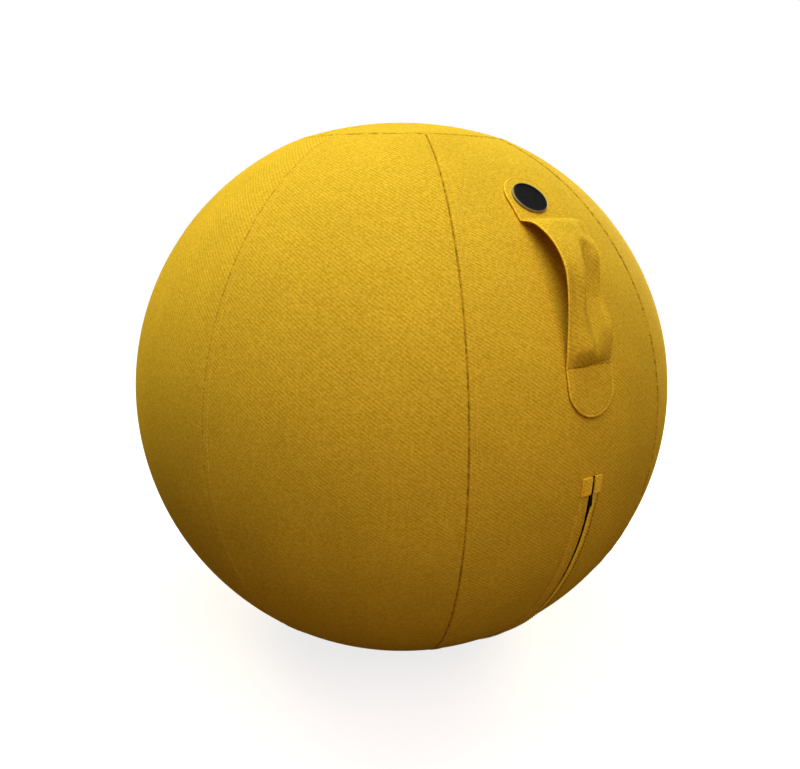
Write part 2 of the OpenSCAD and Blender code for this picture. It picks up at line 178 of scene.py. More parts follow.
def waves(a, b, count, low, high, seed):
    """A sum of count sine waves of random direction over the lengths a and b, whose
    wavelengths lie between low and high. It stays between about -1 and 1."""
    source = np.random.default_rng(seed)
    total = 0 * a
    for _ in range(count):
        length = source.uniform(low, high)
        turn = source.uniform(0, 2 * np.pi)
        phase = source.uniform(0, 2 * np.pi)
        total = total + np.sin(2 * np.pi * (a * np.cos(turn) + b * np.sin(turn)) / length + phase)
    return total / math.sqrt(2 * count)


# Meshes

def added(name, data):
    """A new object in the scene, at the origin."""
    thing = bpy.data.objects.new(name, data)
    bpy.context.scene.collection.objects.link(thing)
    return thing


def mesh_piece(name, points, faces, maps=None, smooth_faces=True):
    """An object from arrays: points (n, 3), faces a list of (m, k) index arrays, and maps
    with an (n, 2) array for the name of each UV map."""
    mesh = bpy.data.meshes.new(name)
    corners = np.concatenate([f.ravel() for f in faces]).astype(np.int32)
    sizes = np.concatenate([np.full(len(f), f.shape[1]) for f in faces])
    starts = np.concatenate([[0], np.cumsum(sizes)[:-1]]).astype(np.int32)
    mesh.vertices.add(len(points))
    mesh.vertices.foreach_set("co", np.asarray(points, np.float32).ravel())
    mesh.loops.add(len(corners))
    mesh.loops.foreach_set("vertex_index", corners)
    mesh.polygons.add(len(sizes))
    mesh.polygons.foreach_set("loop_start", starts)
    for map_name, places in (maps or {}).items():
        layer = mesh.uv_layers.new(name=map_name)
        layer.data.foreach_set("uv", np.asarray(places, np.float32)[corners].ravel())
    mesh.update(calc_edges=True)
    mesh.validate()
    mesh.polygons.foreach_set("use_smooth", np.full(len(mesh.polygons), smooth_faces))
    return added(name, mesh)


def grid_faces(rows, columns, around=False):
    """Quads of a grid of rows by columns, joined round in the column direction if asked."""
    i, j = grid(np.arange(rows - 1), np.arange(columns if around else columns - 1))
    i, j = i.ravel(), j.ravel()
    k = (j + 1) % columns
    return np.stack([i * columns + j, i * columns + k, (i + 1) * columns + k,
                     (i + 1) * columns + j], axis=1)


def fan(ring, tip):
    """Triangles from each edge of a closed ring of points to the point tip."""
    return np.stack([ring, np.roll(ring, -1), np.full(len(ring), tip)], axis=1)


def open_edges(faces):
    """The directed edges that only one face uses, as an (n, 2) array."""
    edges = np.concatenate([np.stack([f[:, k], f[:, (k + 1) % f.shape[1]]], axis=1)
                            for f in faces for k in range(f.shape[1])]).astype(np.int64)
    size = int(edges.max()) + 1
    key = edges[:, 0] * size + edges[:, 1]
    back = edges[:, 1] * size + edges[:, 0]
    return edges[~np.isin(key, back)]


FAR = 1.0


def cloth_piece(name, top, under, faces, uv, seam=FAR, fold=FAR):
    """A closed sheet: its top surface, the under surface with the same faces turned round,
    and a wall along every open edge. seam and fold are each point's distance to the nearest
    seam and to the nearest folded edge or crest, for the cloth's painted shade along seams and
    its painted highlight along folds."""
    count = len(top)
    near = np.stack([np.broadcast_to(np.ravel(part), (count,)) for part in (seam, fold)], axis=-1)
    edge = open_edges(faces)
    wall = np.stack([edge[:, 1], edge[:, 0], edge[:, 0] + count, edge[:, 1] + count], axis=1)
    below = [f[:, ::-1] + count for f in faces]
    maps = {"cloth": np.concatenate([uv, uv]), "edge": np.concatenate([near, near])}
    return mesh_piece(name, np.concatenate([top, under]), faces + below + [wall], maps)


def front_cloth(name, up, x, high, low, across, flip=False, seam=FAR, fold=FAR):
    """A closed sheet near the front's middle, from grids of its places and of the heights of
    its two surfaces. across is the distance across the cloth, for its UV map. flip is for
    grids whose columns run to the left or whose rows run down."""
    faces = grid_faces(*up.shape)
    uv = np.stack([across, up], axis=-1).reshape(-1, 2)
    return cloth_piece(name, on_front(up, x, high).reshape(-1, 3),
                       on_front(up, x, low).reshape(-1, 3),
                       [faces[:, ::-1] if flip else faces], uv, seam, fold)


def normals_of(points):
    """Unit normals of a grid of points (rows, columns, 3), from its own differences."""
    across = np.gradient(points, axis=1)
    along = np.gradient(points, axis=0)
    normal = np.cross(across, along)
    return normal / np.linalg.norm(normal, axis=-1, keepdims=True)


STITCH_SIDES = 6
STITCH_RINGS = 7
# Least thickness at a thread's tips, how deep they dive, and how uneven the stitches are
THREAD_TIP = 0.04
THREAD_DIVE = 1.6
TINY = 1e-12
PLACE_SPREAD = 0.03
LENGTH_SPREAD = 0.05


def stitches(name, line, outward, pitch, length, width, height, seed):
    """A row of stitches along a line of points. Each is a short thread: an ellipse in
    section, whose middle stands out of the cloth and whose ends dive into it."""
    step = np.linalg.norm(np.diff(line, axis=0), axis=1)
    run = np.concatenate([[0], np.cumsum(step)])
    count = max(1, int(run[-1] / pitch))
    source = np.random.default_rng(seed)
    middle = ((np.arange(count) + 0.5) * run[-1] / count
              + source.normal(0, PLACE_SPREAD * pitch, count))
    half = 0.5 * length * (1 + source.normal(0, LENGTH_SPREAD, count))

    def at(place):
        spot = np.stack([np.interp(place, run, line[:, k]) for k in range(3)], axis=-1)
        out = np.stack([np.interp(place, run, outward[:, k]) for k in range(3)], axis=-1)
        return spot, out / np.linalg.norm(out, axis=-1, keepdims=True)

    t = np.linspace(-1, 1, STITCH_RINGS)
    thick = np.sqrt(np.maximum(1 - np.abs(t) ** 3, THREAD_TIP))
    arch = 1 - THREAD_DIVE * t ** 2
    place = middle[:, None] + half[:, None] * t[None, :]
    spot, out = at(place)
    along = at(place + 0.2 * pitch)[0] - at(place - 0.2 * pitch)[0]
    along /= np.linalg.norm(along, axis=-1, keepdims=True) + TINY
    side = np.cross(along, out)
    turn = circle(STITCH_SIDES)
    ring = (side[:, :, None, :] * np.cos(turn)[None, None, :, None] * width / 2
            + out[:, :, None, :] * np.sin(turn)[None, None, :, None] * height / 2)
    points = (spot[:, :, None, :] + ring * thick[None, :, None, None]
              + (out * (arch[None, :, None] * height / 2))[:, :, None, :])
    each = STITCH_RINGS * STITCH_SIDES
    tube = grid_faces(STITCH_RINGS, STITCH_SIDES, around=True)[:, ::-1]
    offsets = (np.arange(count) * each)[:, None, None]
    quads = (tube[None] + offsets).reshape(-1, 4)
    first = np.arange(STITCH_SIDES)
    ends = np.stack([first, first[::-1] + each - STITCH_SIDES])
    caps = (ends[None] + offsets).reshape(-1, STITCH_SIDES)
    return mesh_piece(name, points.reshape(-1, 3), [quads, caps])


# Materials

class Finish:
    """The nodes of a material or a world, with short ways to add and join them."""

    def __init__(self, owner, shader="Principled BSDF"):
        owner.use_nodes = True
        self.owner = owner
        self.nodes = owner.node_tree.nodes
        self.links = owner.node_tree.links
        self.shader = self.nodes[shader]

    def join(self, value, socket):
        if isinstance(value, bpy.types.NodeSocket):
            self.links.new(value, socket)
        else:
            socket.default_value = value

    def set(self, **values):
        for name, value in values.items():
            self.join(value, self.shader.inputs[name.replace("_", " ")])

    def node(self, kind, values, output=0, **settings):
        """A new node's output. values holds what goes in, by an input's number or name."""
        node = self.nodes.new("ShaderNode" + kind)
        for name, value in settings.items():
            setattr(node, name, value)
        for key, value in values.items():
            self.join(value, node.inputs[key])
        return node.outputs[output]

    def math(self, operation, a, b=0.0, c=0.0):
        return self.node("Math", {0: a, 1: b, 2: c}, operation=operation)

    def mix(self, factor, a, b):
        """a where factor is 0 and b where it is 1, for numbers."""
        return self.node("Mix", {0: factor, 2: a, 3: b})

    def blend(self, factor, a, b, how="MIX"):
        """The same for colours."""
        return self.node("Mix", {0: factor, 6: a, 7: b}, 2, data_type="RGBA", blend_type=how)

    def shaded(self, colour, share):
        """A colour times a number."""
        return self.blend(1.0, colour, self.vector(share, share, share), "MULTIPLY")

    def vector(self, x, y, z=0.0):
        return self.node("CombineXYZ", {0: x, 1: y, 2: z})

    def split(self, vector):
        """A vector's three numbers."""
        return [self.node("SeparateXYZ", {0: vector}, k) for k in range(3)]

    def uv(self, name="cloth"):
        return self.node("UVMap", {}, uv_map=name)

    def place(self):
        return self.node("TexCoord", {}, "Object")

    def noise(self, vector, scale, detail):
        return self.node("TexNoise", {"Vector": vector, "Scale": scale, "Detail": detail}, "Fac")

    def patches(self, vector, scale, detail, low, high):
        """Soft patches between two values."""
        return self.spread(self.noise(vector, scale, detail), 0.3, 0.7, low, high)

    def chance(self, vector):
        """A random number from 0 to 1 for each whole value of the vector."""
        return self.node("TexWhiteNoise", {"Vector": vector}, "Value", noise_dimensions="3D")

    def spread(self, value, low, high, to_low=0.0, to_high=1.0):
        return self.node("MapRange", {0: value, 1: low, 2: high, 3: to_low, 4: to_high})

    def relief(self, height, depth, strength=1.0, **under):
        values = {"Height": height, "Distance": depth, "Strength": strength, **under}
        return self.node("Bump", values)

    def grain(self, vector, scale, detail, depth, strength):
        """The relief of a fine noise."""
        return self.relief(self.noise(vector, scale, detail), depth, strength)


def new_finish(name):
    return Finish(bpy.data.materials.new(name))


def twill(finish, yarn):
    """A two-over-two twill on the cloth's own UV, in metres; yarn is a cell's width and
    height. Cell (i, j) shows the warp where i + j leaves 0 or 1 over a multiple of 4. Each
    float is a rounded thread two cells long. Gives its height from 0 to 1, a random number
    for each float, and 1 on the warp's."""
    u, v, _ = finish.split(finish.uv())
    x = finish.math("DIVIDE", u, yarn[0])
    y = finish.math("DIVIDE", v, yarn[1])
    i, j = finish.math("FLOOR", x), finish.math("FLOOR", y)
    fx, fy = finish.math("FRACT", x), finish.math("FRACT", y)
    total = finish.math("ADD", i, j)
    place = finish.math("FLOORED_MODULO", total, 4.0)
    warp = finish.math("LESS_THAN", place, 1.5)
    across = finish.mix(warp, fy, fx)
    start = finish.mix(warp, finish.math("SUBTRACT", place, 2.0), place)
    along = finish.math("DIVIDE", finish.math("ADD", finish.mix(warp, fx, fy), start), 2.0)

    def bow(t):
        return finish.math("SUBTRACT", 1.0, finish.math(
            "POWER", finish.math("MULTIPLY_ADD", t, 2.0, -1.0), 2.0))

    height = finish.math("MULTIPLY", bow(across), finish.math("MULTIPLY_ADD", bow(along), 0.5, 0.5))
    thread = finish.mix(warp, j, i)
    part = finish.math("FLOOR", finish.math("DIVIDE", total, 4.0))
    return height, finish.chance(finish.vector(thread, part, warp)), warp


# Reach of the painted shade along seams and of the painted highlight, partly wear, along folds,
# and the tones of cloth, of its painted shade and of its painted highlight
SEAM_SHADE = 0.85 * MM
FOLD_HIGHLIGHT_REACH = 1.5 * MM
WARP_SHARE = 0.38
GAP_SHADE_TONE = 0.90
SLOW_TONES = (0.95, 1.04)
SEAM_SHADE_TONES = (0.56, 0.92)
EDGE_HIGHLIGHT_TONE = 1.38


def woven(name, light, dark, yarn, relief=0.14 * MM):
    """Upholstery cloth: each float has its own tone between a pale and a deep one, the
    warp's paler than the weft's, with painted shade in the gaps between them, slow changes
    of tone and a little fuzz. It has painted shade along its seams, broken by a noise, and a
    painted highlight, partly wear, along folded edges and the crests beside seams."""
    finish = new_finish(name)
    height, chance, warp = twill(finish, yarn)
    place = finish.place()
    value = finish.math("MULTIPLY_ADD", chance, 1 - WARP_SHARE,
                        finish.math("MULTIPLY", warp, WARP_SHARE))
    tone = finish.blend(value, (*dark, 1), (*light, 1))
    # painted shade in the gaps between the floats
    gap = finish.spread(height, 0.0, 0.5, GAP_SHADE_TONE, 1.0)
    slow = finish.patches(place, 16, 3, *SLOW_TONES)
    seam, fold, _ = finish.split(finish.uv("edge"))
    # painted shade along seams, broken by a noise
    broken = finish.spread(finish.noise(place, 190, 1), 0.42, 0.56, *SEAM_SHADE_TONES)
    painted_seam_shade = finish.mix(finish.spread(seam, 0.4 * SEAM_SHADE, SEAM_SHADE), broken, 1.0)
    # painted highlight along folded edges and the crests beside seams, partly wear
    edge_highlight_and_wear = finish.spread(fold, 0.4 * FOLD_HIGHLIGHT_REACH, FOLD_HIGHLIGHT_REACH, EDGE_HIGHLIGHT_TONE, 1.0)
    shade = finish.math("MULTIPLY", finish.math("MULTIPLY", gap, slow),
                        finish.math("MULTIPLY", painted_seam_shade, edge_highlight_and_wear))
    colour = finish.shaded(tone, shade)
    fuzz = finish.grain(place, 2600, 2, 0.10 * MM, 0.5)
    finish.set(Base_Color=colour, Roughness=0.9, Specular_IOR_Level=0.03, Sheen_Weight=0.12,
               Sheen_Roughness=0.4, Sheen_Tint=(*light, 1),
               Normal=finish.relief(height, relief, Normal=fuzz))
    return finish.owner


def thread_finish(name, colour):
    """Twisted sewing thread: a fine ripple of tone and a soft gloss."""
    finish = new_finish(name)
    ripple = finish.patches(finish.place(), 1800, 2, 0.8, 1.1)
    finish.set(Base_Color=finish.shaded((*colour, 1), ripple), Roughness=0.6,
               Specular_IOR_Level=0.08,
               Normal=finish.grain(finish.place(), 2500, 1, 0.1 * MM, 0.7))
    return finish.owner


def moulded(name, colour, roughness, grain=0.05 * MM, scale=1500, metallic=0.0, gloss=0.5):
    """Moulded or painted surface: fine grain, slight wear in the gloss and in the tone."""
    finish = new_finish(name)
    place = finish.place()
    tone = finish.patches(place, 60, 3, 0.85, 1.12)
    wear = finish.patches(place, 220, 4, roughness * 0.8, roughness * 1.15)
    finish.set(Base_Color=finish.shaded((*colour, 1), tone), Roughness=wear, Metallic=metallic,
               Specular_IOR_Level=gloss,
               Normal=finish.grain(place, scale, 2, grain, 0.5))
    return finish.owner


YARN = (1.3 * MM, 0.95 * MM)
FINE_YARN = (0.5 * MM, 0.45 * MM)
YELLOW_LIGHT = (0.93, 0.655, 0.048)
YELLOW_DARK = (0.64, 0.392, 0.014)
cover_cloth = woven("cover_twill", YELLOW_LIGHT, YELLOW_DARK, YARN)
lining_cloth = woven("strap_lining", (0.64, 0.40, 0.045), (0.42, 0.25, 0.020),
                     (0.8 * MM, 0.7 * MM), relief=0.12 * MM)
tape_cloth = woven("zip_tape", (0.020, 0.017, 0.014), (0.009, 0.008, 0.007), FINE_YARN,
                   relief=0.08 * MM)
cover_thread = thread_finish("cover_thread", (0.92, 0.62, 0.075))
# dark thread for the right lip's stitches: painted shade of the dimples they press
painted_shadow_thread = thread_finish("painted_shadow_thread", (0.15, 0.085, 0.012))
badge_plastic = moulded("badge_plastic", (0.002, 0.002, 0.0023), 0.5, grain=0.03 * MM, gloss=0.03)
badge_rim_metal = moulded("badge_rim_metal", (0.26, 0.215, 0.10), 0.5, metallic=1.0)
teeth_plastic = moulded("zip_teeth_plastic", (0.006, 0.006, 0.006), 0.5, grain=0.02 * MM,
                        gloss=0.1)
slider_metal = moulded("slider_metal", (0.006, 0.006, 0.0065), 0.45, grain=0.02 * MM, gloss=0.1)
bladder_rubber = moulded("bladder_rubber", (0.30, 0.31, 0.33), 0.48, grain=0.12 * MM, scale=700)
valve_rubber = moulded("valve_rubber", (0.03, 0.03, 0.033), 0.5, grain=0.08 * MM)
plug_plastic = moulded("plug_plastic", (0.66, 0.66, 0.64), 0.42)


def dress(piece, material, slot, *nodes):
    """Gives a piece its material and the nodes it stands for; slot is not used. All the pieces
    made here ride on the ball: the zip's and the valve's moving nodes keep their own shape."""
    piece.data.materials.append(material)
    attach(piece, "ball")
    if nodes:
        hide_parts(*nodes)
    return piece


def sewn_row(name, line, outward, sizes, seed, thread=None):
    """A dressed row of stitches; sizes are its pitch and a stitch's length, width, height."""
    row = stitches(name, line, outward, *sizes, seed)
    return dress(row, thread or cover_thread, "cover_fabric")


# The cover's upright panels

EDGE_STEPS_LEFT = mm(0, 0.25, 0.6, 1.0, 1.6, 2.6, 4.0, 5.4, 6.4, 7.0, 7.6, 8.4, 9.4, 10.6, 12.5)
EDGE_STEPS_RIGHT = mm(10, 7, 5, 3.6, 2.6, 1.8, 1.1, 0.6, 0.25, 0)
STITCH_IN = 7 * MM
GROOVE = 1.6 * MM
PANEL_GAP = 0.05 * MM
# SEAM_CREST places the painted highlight beside a panel's left seam and SEAM_CREST_FAINT weakens
# it; the factors below widen the painted shade along right edges, gore_2's left edge, ends and cap
# edges
SEAM_CREST = 2.1 * MM
SEAM_CREST_FAINT = 0.9 * MM
RIGHT_SEAM_WIDER = 0.6
WIDER_SEAM_SHADE = {1: 0.28}
END_SEAM_WIDER = 0.5
CAP_SEAM_WIDER = 0.32
END_STEPS = mm(0, 0.3, 0.8, 1.5, 2.6, 4.2)
PANEL_ROWS = 340
MIDDLE_COLUMNS = 30
SLIT_COLUMNS = 6
NEAR = 1e-6
# Reach of the roll into the seams, and heights and reaches of what shapes a panel's edges
ROLL_LEFT, ROLL_RIGHT, ROLL_END = mm(1.2, 1.4, 1.9)
ROLL_END_SHARE = 0.9
LIFTED_H, LIFTED_IN, LIFTED_OUT = 0.45 * MM, 1.1 * MM, mm(8, 4)
DENT_H, DENT_W = mm(0.38, 1.7)
BEAT_H, BEAT_W = mm(0.10, 4)
PUCKER_LENGTHS = mm(7, 19)
PUCKER_LEFT_H, PUCKER_LEFT_W = mm(0.16, 20)
PUCKER_RIGHT_H, PUCKER_RIGHT_W = mm(0.11, 16)
SLOW_H, SLOW_LENGTHS = 0.15 * MM, mm(90, 240)
FRONT_HOLLOW_H = 0.2 * MM
FRONT_HOLLOW_W = 60 * MM
TOPSTITCH = mm(5.2, 4.1, 0.85, 0.6)


def panel_height(left, right, end, along, seed):
    """Height of a panel's surface over the ball's sphere, from the distances to its left
    edge, right edge and nearer end. Both edges and the ends roll down into the seams. Along
    the left edge the two allowances lift it, a stitched line presses it in, and small
    puckers run across the seam between stitches."""
    roll = -GROOVE * ((1 - smooth(left / ROLL_LEFT)) + (1 - smooth(right / ROLL_RIGHT))
                      + ROLL_END_SHARE * (1 - smooth(end / ROLL_END)))
    lifted = LIFTED_H * smooth(left / LIFTED_IN) * (1 - ramp(left, *LIFTED_OUT))
    dent = -DENT_H * bump(left, STITCH_IN, DENT_W)
    pucker = waves(along, left, 5, *PUCKER_LENGTHS, seed)
    near = (PUCKER_LEFT_H * hump(left / PUCKER_LEFT_W)
            + PUCKER_RIGHT_H * hump(right / PUCKER_RIGHT_W))
    beat = BEAT_H * bump(left, STITCH_IN, BEAT_W) * np.cos(2 * np.pi * along / TOPSTITCH[0])
    return np.maximum(roll, -GROOVE) + lifted + dent + pucker * near + beat


def panel_rows():
    """Latitudes of a panel's rows: close together at its two ends, even between."""
    end = SEAM_LAT - PANEL_GAP / BALL_R
    inner = end - END_STEPS[-1] / BALL_R
    middle = np.linspace(-inner, inner, PANEL_ROWS)
    low = -end + END_STEPS[:-1] / BALL_R
    return np.concatenate([low, middle, -low[::-1]])


def panel_columns(latitude, cuts=()):
    """Distances to the right of the panel's middle line, one row of them for each latitude.
    cuts are distances that have to fall on columns."""
    half = BALL_R * np.cos(latitude) * HALF_GORE - PANEL_GAP
    left = -half[:, None] + EDGE_STEPS_LEFT[None, :]
    right = half[:, None] - EDGE_STEPS_RIGHT[None, :]
    stops = [left[:, -1]] + [np.full(len(latitude), c) for c in cuts] + [right[:, 0]]
    shares = [MIDDLE_COLUMNS]
    if cuts:
        shares = [MIDDLE_COLUMNS // 2, SLIT_COLUMNS, MIDDLE_COLUMNS // 2]
    parts = [left]
    for a, b, n in zip(stops[:-1], stops[1:], shares):
        t = np.linspace(0, 1, n + 1)[1:]
        parts.append(a[:, None] + (b - a)[:, None] * t[None, :])
    return np.concatenate(parts + [right[:, 1:]], axis=1), half


def panel(index):
    """One upright panel of the cover, with the allowances of its left seam under it. The
    front panel has the slit cut out of it."""
    name = f"gore_{index + 1}"
    front = index == 0
    latitude = panel_rows()
    cuts = ()
    if front:
        cuts = (ZIP_X - SLIT_HALF, ZIP_X + SLIT_HALF)
        for edge in (-SLIT_TOP, -SLIT_BOTTOM):
            latitude[np.argmin(np.abs(latitude - edge / BALL_R))] = edge / BALL_R
    x, half = panel_columns(latitude, cuts)
    rows, columns = x.shape
    lat = np.repeat(latitude[:, None], columns, axis=1)
    along = lat * BALL_R
    left, right = x + half[:, None], half[:, None] - x
    end = SEAM_LAT * BALL_R - np.abs(along)
    azimuth = index * 2 * HALF_GORE + x / (BALL_R * np.cos(lat))
    slow = waves(x, along, 6, *SLOW_LENGTHS, 40 + index)
    height = panel_height(left, right, end, along, 60 + index) + SLOW_H * (slow - 1) * hump(
        (x / half[:, None]) * 0.9)
    if front:
        height -= FRONT_HOLLOW_H * hump(x / FRONT_HOLLOW_W)
    deep = np.where(left < ALLOWANCE_W, FABRIC + ALLOWANCE_T, FABRIC)
    faces = grid_faces(rows, columns)
    if front:
        i, j = faces[:, 0] // columns, faces[:, 0] % columns
        first = len(EDGE_STEPS_LEFT) - 1 + MIDDLE_COLUMNS // 2
        inside = ((j >= first) & (j < first + SLIT_COLUMNS)
                  & (latitude[i] >= -SLIT_BOTTOM / BALL_R - NEAR)
                  & (latitude[i + 1] < -SLIT_TOP / BALL_R + NEAR))
        faces = faces[~inside]
    top = on_ball(azimuth, lat, height)
    under = on_ball(azimuth, lat, np.minimum(height, 0) - deep)
    uv = np.stack([x, along], axis=-1).reshape(-1, 2)
    # painted shade along the panel's seams and ends, and a painted highlight along the crest beside
    # its left seam
    seam = np.minimum(np.minimum(WIDER_SEAM_SHADE.get(index, 1.0) * left, RIGHT_SEAM_WIDER * right),
                      END_SEAM_WIDER * end)
    piece = cloth_piece(name + "_cloth", top.reshape(-1, 3), under.reshape(-1, 3), [faces], uv,
                        seam, np.abs(left - SEAM_CREST) + SEAM_CREST_FAINT)
    dress(piece, cover_cloth, "cover_fabric", name)
    place = np.searchsorted(EDGE_STEPS_LEFT, STITCH_IN - NEAR)
    row = sewn_row(name + "_topstitch", top[2:-2, place], normals_of(top)[2:-2, place],
                   TOPSTITCH, index)


for place_round in range(GORES):
    panel(place_round)


# The two round caps

CAP_RINGS = 70
CAP_SEGMENTS = 256
CAP_EDGE_STEPS = mm(0, 0.3, 0.8, 1.5, 2.4, 3.6, 5.2, 7, 9.2, 11.5)
CAP_EVEN_FROM = 14 * MM
CAP_ROLL = 2.6 * MM
CAP_CREST_H, CAP_CREST_AT = 0.25 * MM, mm(4, 5)
# Puckers round the edge: height, reach, and the count and phase of each wave
CAP_PUCKER_H, CAP_PUCKER_W = mm(0.09, 17)
CAP_PUCKERS = ((41, 0.3), (57, 2.1), (73, 4.0), (29, 5.2))
FLOOR_SOFT = 0.6 * MM


def cap(node, side):
    """A round cap: rings from its seam to a point in the middle, on a flatter sphere than
    the ball's. Its edge rolls down into the seam, with small puckers all round. The lower
    one is pressed flat by the floor."""
    edge = CAP_SEAM_R - PANEL_GAP
    steps = np.concatenate([CAP_EDGE_STEPS, np.linspace(CAP_EVEN_FROM, edge, CAP_RINGS)[:-1]])
    inward, turn = grid(steps, circle(CAP_SEGMENTS))
    radius = edge - inward
    ripple = sum(np.sin(count * turn + phase) for count, phase in CAP_PUCKERS)
    height = (-GROOVE * (1 - smooth(inward / CAP_ROLL))
              + CAP_PUCKER_H * ripple * hump(inward / CAP_PUCKER_W)
              + CAP_CREST_H * bump(inward, *CAP_CREST_AT))
    plain = np.sqrt(CAP_R ** 2 - radius ** 2) - CAP_CENTRE
    deep = np.where(inward < ALLOWANCE_W, FABRIC + ALLOWANCE_T, FABRIC)
    rise = plain + height
    under = plain + np.minimum(height, 0) - deep
    if side < 0:
        over = CENTRE_Z - rise
        rise = np.minimum(CENTRE_Z - np.hypot(over, FLOOR_SOFT) * np.sign(over), CENTRE_Z)
        under = np.minimum(under, rise - FABRIC)
    x, y = radius * np.sin(turn), -radius * np.cos(turn)

    def surface(heights):
        points = np.stack([x, y, CENTRE_Z + side * heights], axis=-1).reshape(-1, 3)
        return np.concatenate([points, [[0, 0, points[-1, 2]]]])

    pole = x.size
    parts = [grid_faces(*x.shape, around=True), fan(np.arange(pole - CAP_SEGMENTS, pole), pole)]
    uv = np.concatenate([np.stack([x, y], axis=-1).reshape(-1, 2), [[0, 0]]])
    # painted shade along the cap's seam
    seam = np.concatenate([CAP_SEAM_WIDER * inward.ravel(), [FAR]])
    piece = cloth_piece(node + "_cloth", surface(rise), surface(under),
                        [part[:, ::side] for part in parts], uv, seam)
    dress(piece, cover_cloth, "cover_fabric", node)


cap("top_cap", 1)
cap("bottom_cap", -1)

# The carrying strap

ARCH_H = 24 * MM
FOLD_H = 6 * MM
HOLLOW_H = 3 * MM
ARCH_CREST = ARCH_BOTTOM + (ARCH_TOP - ARCH_BOTTOM) * 0.6
ARCH_BEND = 0.85
FOLD_ROUND = 9 * MM
FOLD_FADE = (1, 3)
HOLLOW_AT = ARCH_BOTTOM + (ARCH_TOP - ARCH_BOTTOM) * 0.55
HOLLOW_ACROSS = (0.1, 0.55)


def strap_lift(up, x):
    """Height of the strap over its flat lie, as in the CAD model: a steep rise from the upper
    sewn end, an almost straight fall to the lower sewn line, a bulge just above that line,
    and a hollow down the middle."""
    v = x / STRAP_HALF
    rise = np.sin(0.5 * np.pi * np.clip((ARCH_TOP - up) / (ARCH_TOP - ARCH_CREST), 0, 1)) ** 0.8
    t = np.clip((up - ARCH_BOTTOM) / (ARCH_CREST - ARCH_BOTTOM), 0, 1)
    fall = np.where(t < ARCH_BEND, 2 * t / (1 + ARCH_BEND),
                    1 - (1 - t) ** 2 / (1 - ARCH_BEND ** 2))
    arch = ARCH_H * np.where(up > ARCH_CREST, rise, fall)
    arch = np.where((up <= ARCH_BOTTOM) | (up >= ARCH_TOP), 0, arch)
    s = (up - ARCH_BOTTOM) / FOLD_ROUND
    bulge = FOLD_H * hump(v) * np.where(s < 1, rounded(s), bump(s, *FOLD_FADE))
    hollow = HOLLOW_H * bump(v, *HOLLOW_ACROSS) * bump(up, HOLLOW_AT, ARCH_TOP - HOLLOW_AT)
    return np.maximum(0, arch + bulge - hollow)


def into_end(up):
    """How far places along the strap lie into one of its round ends."""
    return np.clip(STRAP_HALF - np.minimum(STRAP_TOP - up, up - STRAP_TONGUE), 0, None)


def strap_width(up, inset):
    """Half of the strap's width at a place along it: full, and round at both ends."""
    half = STRAP_HALF - inset
    near = np.minimum(into_end(up), half)
    return np.sqrt(np.maximum(half ** 2 - near ** 2, (TIP_SHARE * half) ** 2))


STRAP_ROWS = 420
STRAP_COLUMNS = 96
ROWS_CROWD = 0.35
COLUMNS_CROWD = 0.4
OUTLINE_POINTS = 420
TIP_SHARE = 0.02


def strap_grid(inset):
    """Places along and across the strap. Rows crowd towards its round ends, and columns
    towards its edges."""
    t = np.linspace(0, 1, STRAP_ROWS)
    s = np.linspace(-1, 1, STRAP_COLUMNS)
    low, high = STRAP_TONGUE + inset, STRAP_TOP - inset
    share = (1 - ROWS_CROWD) * t + ROWS_CROWD * (1 - np.cos(np.pi * t)) / 2
    up, v = grid(low + (high - low) * share,
                 (1 - COLUMNS_CROWD) * s + COLUMNS_CROWD * np.sin(0.5 * np.pi * s))
    return up, v * strap_width(up, inset)


def edge_distance(up, x, inset):
    """Distance of a place on the strap to its nearer side or round end."""
    return STRAP_HALF - inset - np.hypot(into_end(up), x)


# The line that the strap's right part sinks to: places up the cover, and its lifts there
FLOOR_UP = mm(86, 90, 94, 98, 102, 107, 113, 120, 130, 140, 150, 160, 170, 178, 186, 193, 200)
FLOOR_LIFT = mm(0, 0, 5.2, 8.6, 10.4, 11.0, 10.6, 9.4, 7.2, 5.8, 5.4, 7.0, 10.0, 13.0, 16.2, 19.0,
                21.8)
# The strap's folds: a height each, with the middle and reach of a bump or the start and reach
# of a ramp, up the cover and to the right
SLACK_LIFT = 7 * MM
FULLER_H, FULLER_TOP, FULLER_LOW = 2.6 * MM, (ARCH_TOP, -14 * MM), mm(110, 50)
CREST_H, CREST_UP, CREST_X = 2.8 * MM, mm(221, 17), mm(-30, 20)
LEAN_H, LEAN_UP, LEAN_X = 5.2 * MM, mm(205, 24), mm(8, 18)
BOW_H, BOW_UP, BOW_X = 3 * MM, mm(150, 30), mm(9, 14)
SINK_SOFT, SINK_SHARE, SINK_UP = 3 * MM, 0.9, mm(212, -20)
SINK_LINE_UP, SINK_LINE_X, SINK_W = mm(120, 160, 200), mm(-12, -9, -2), 14 * MM
RIDGE = (2 * MM, mm(155, 34), mm(-12.3, 4.5))
TROUGH = (-1.3 * MM, mm(150, 48), mm(-21, 7))
TURNED_UP = (2 * MM, mm(134, 48), mm(26.5, 5.5))
BELLY_H, BELLY_RISE, BELLY_FALL, BELLY_EDGE = 5.5 * MM, 15 * MM, mm(106, 40), 9 * MM
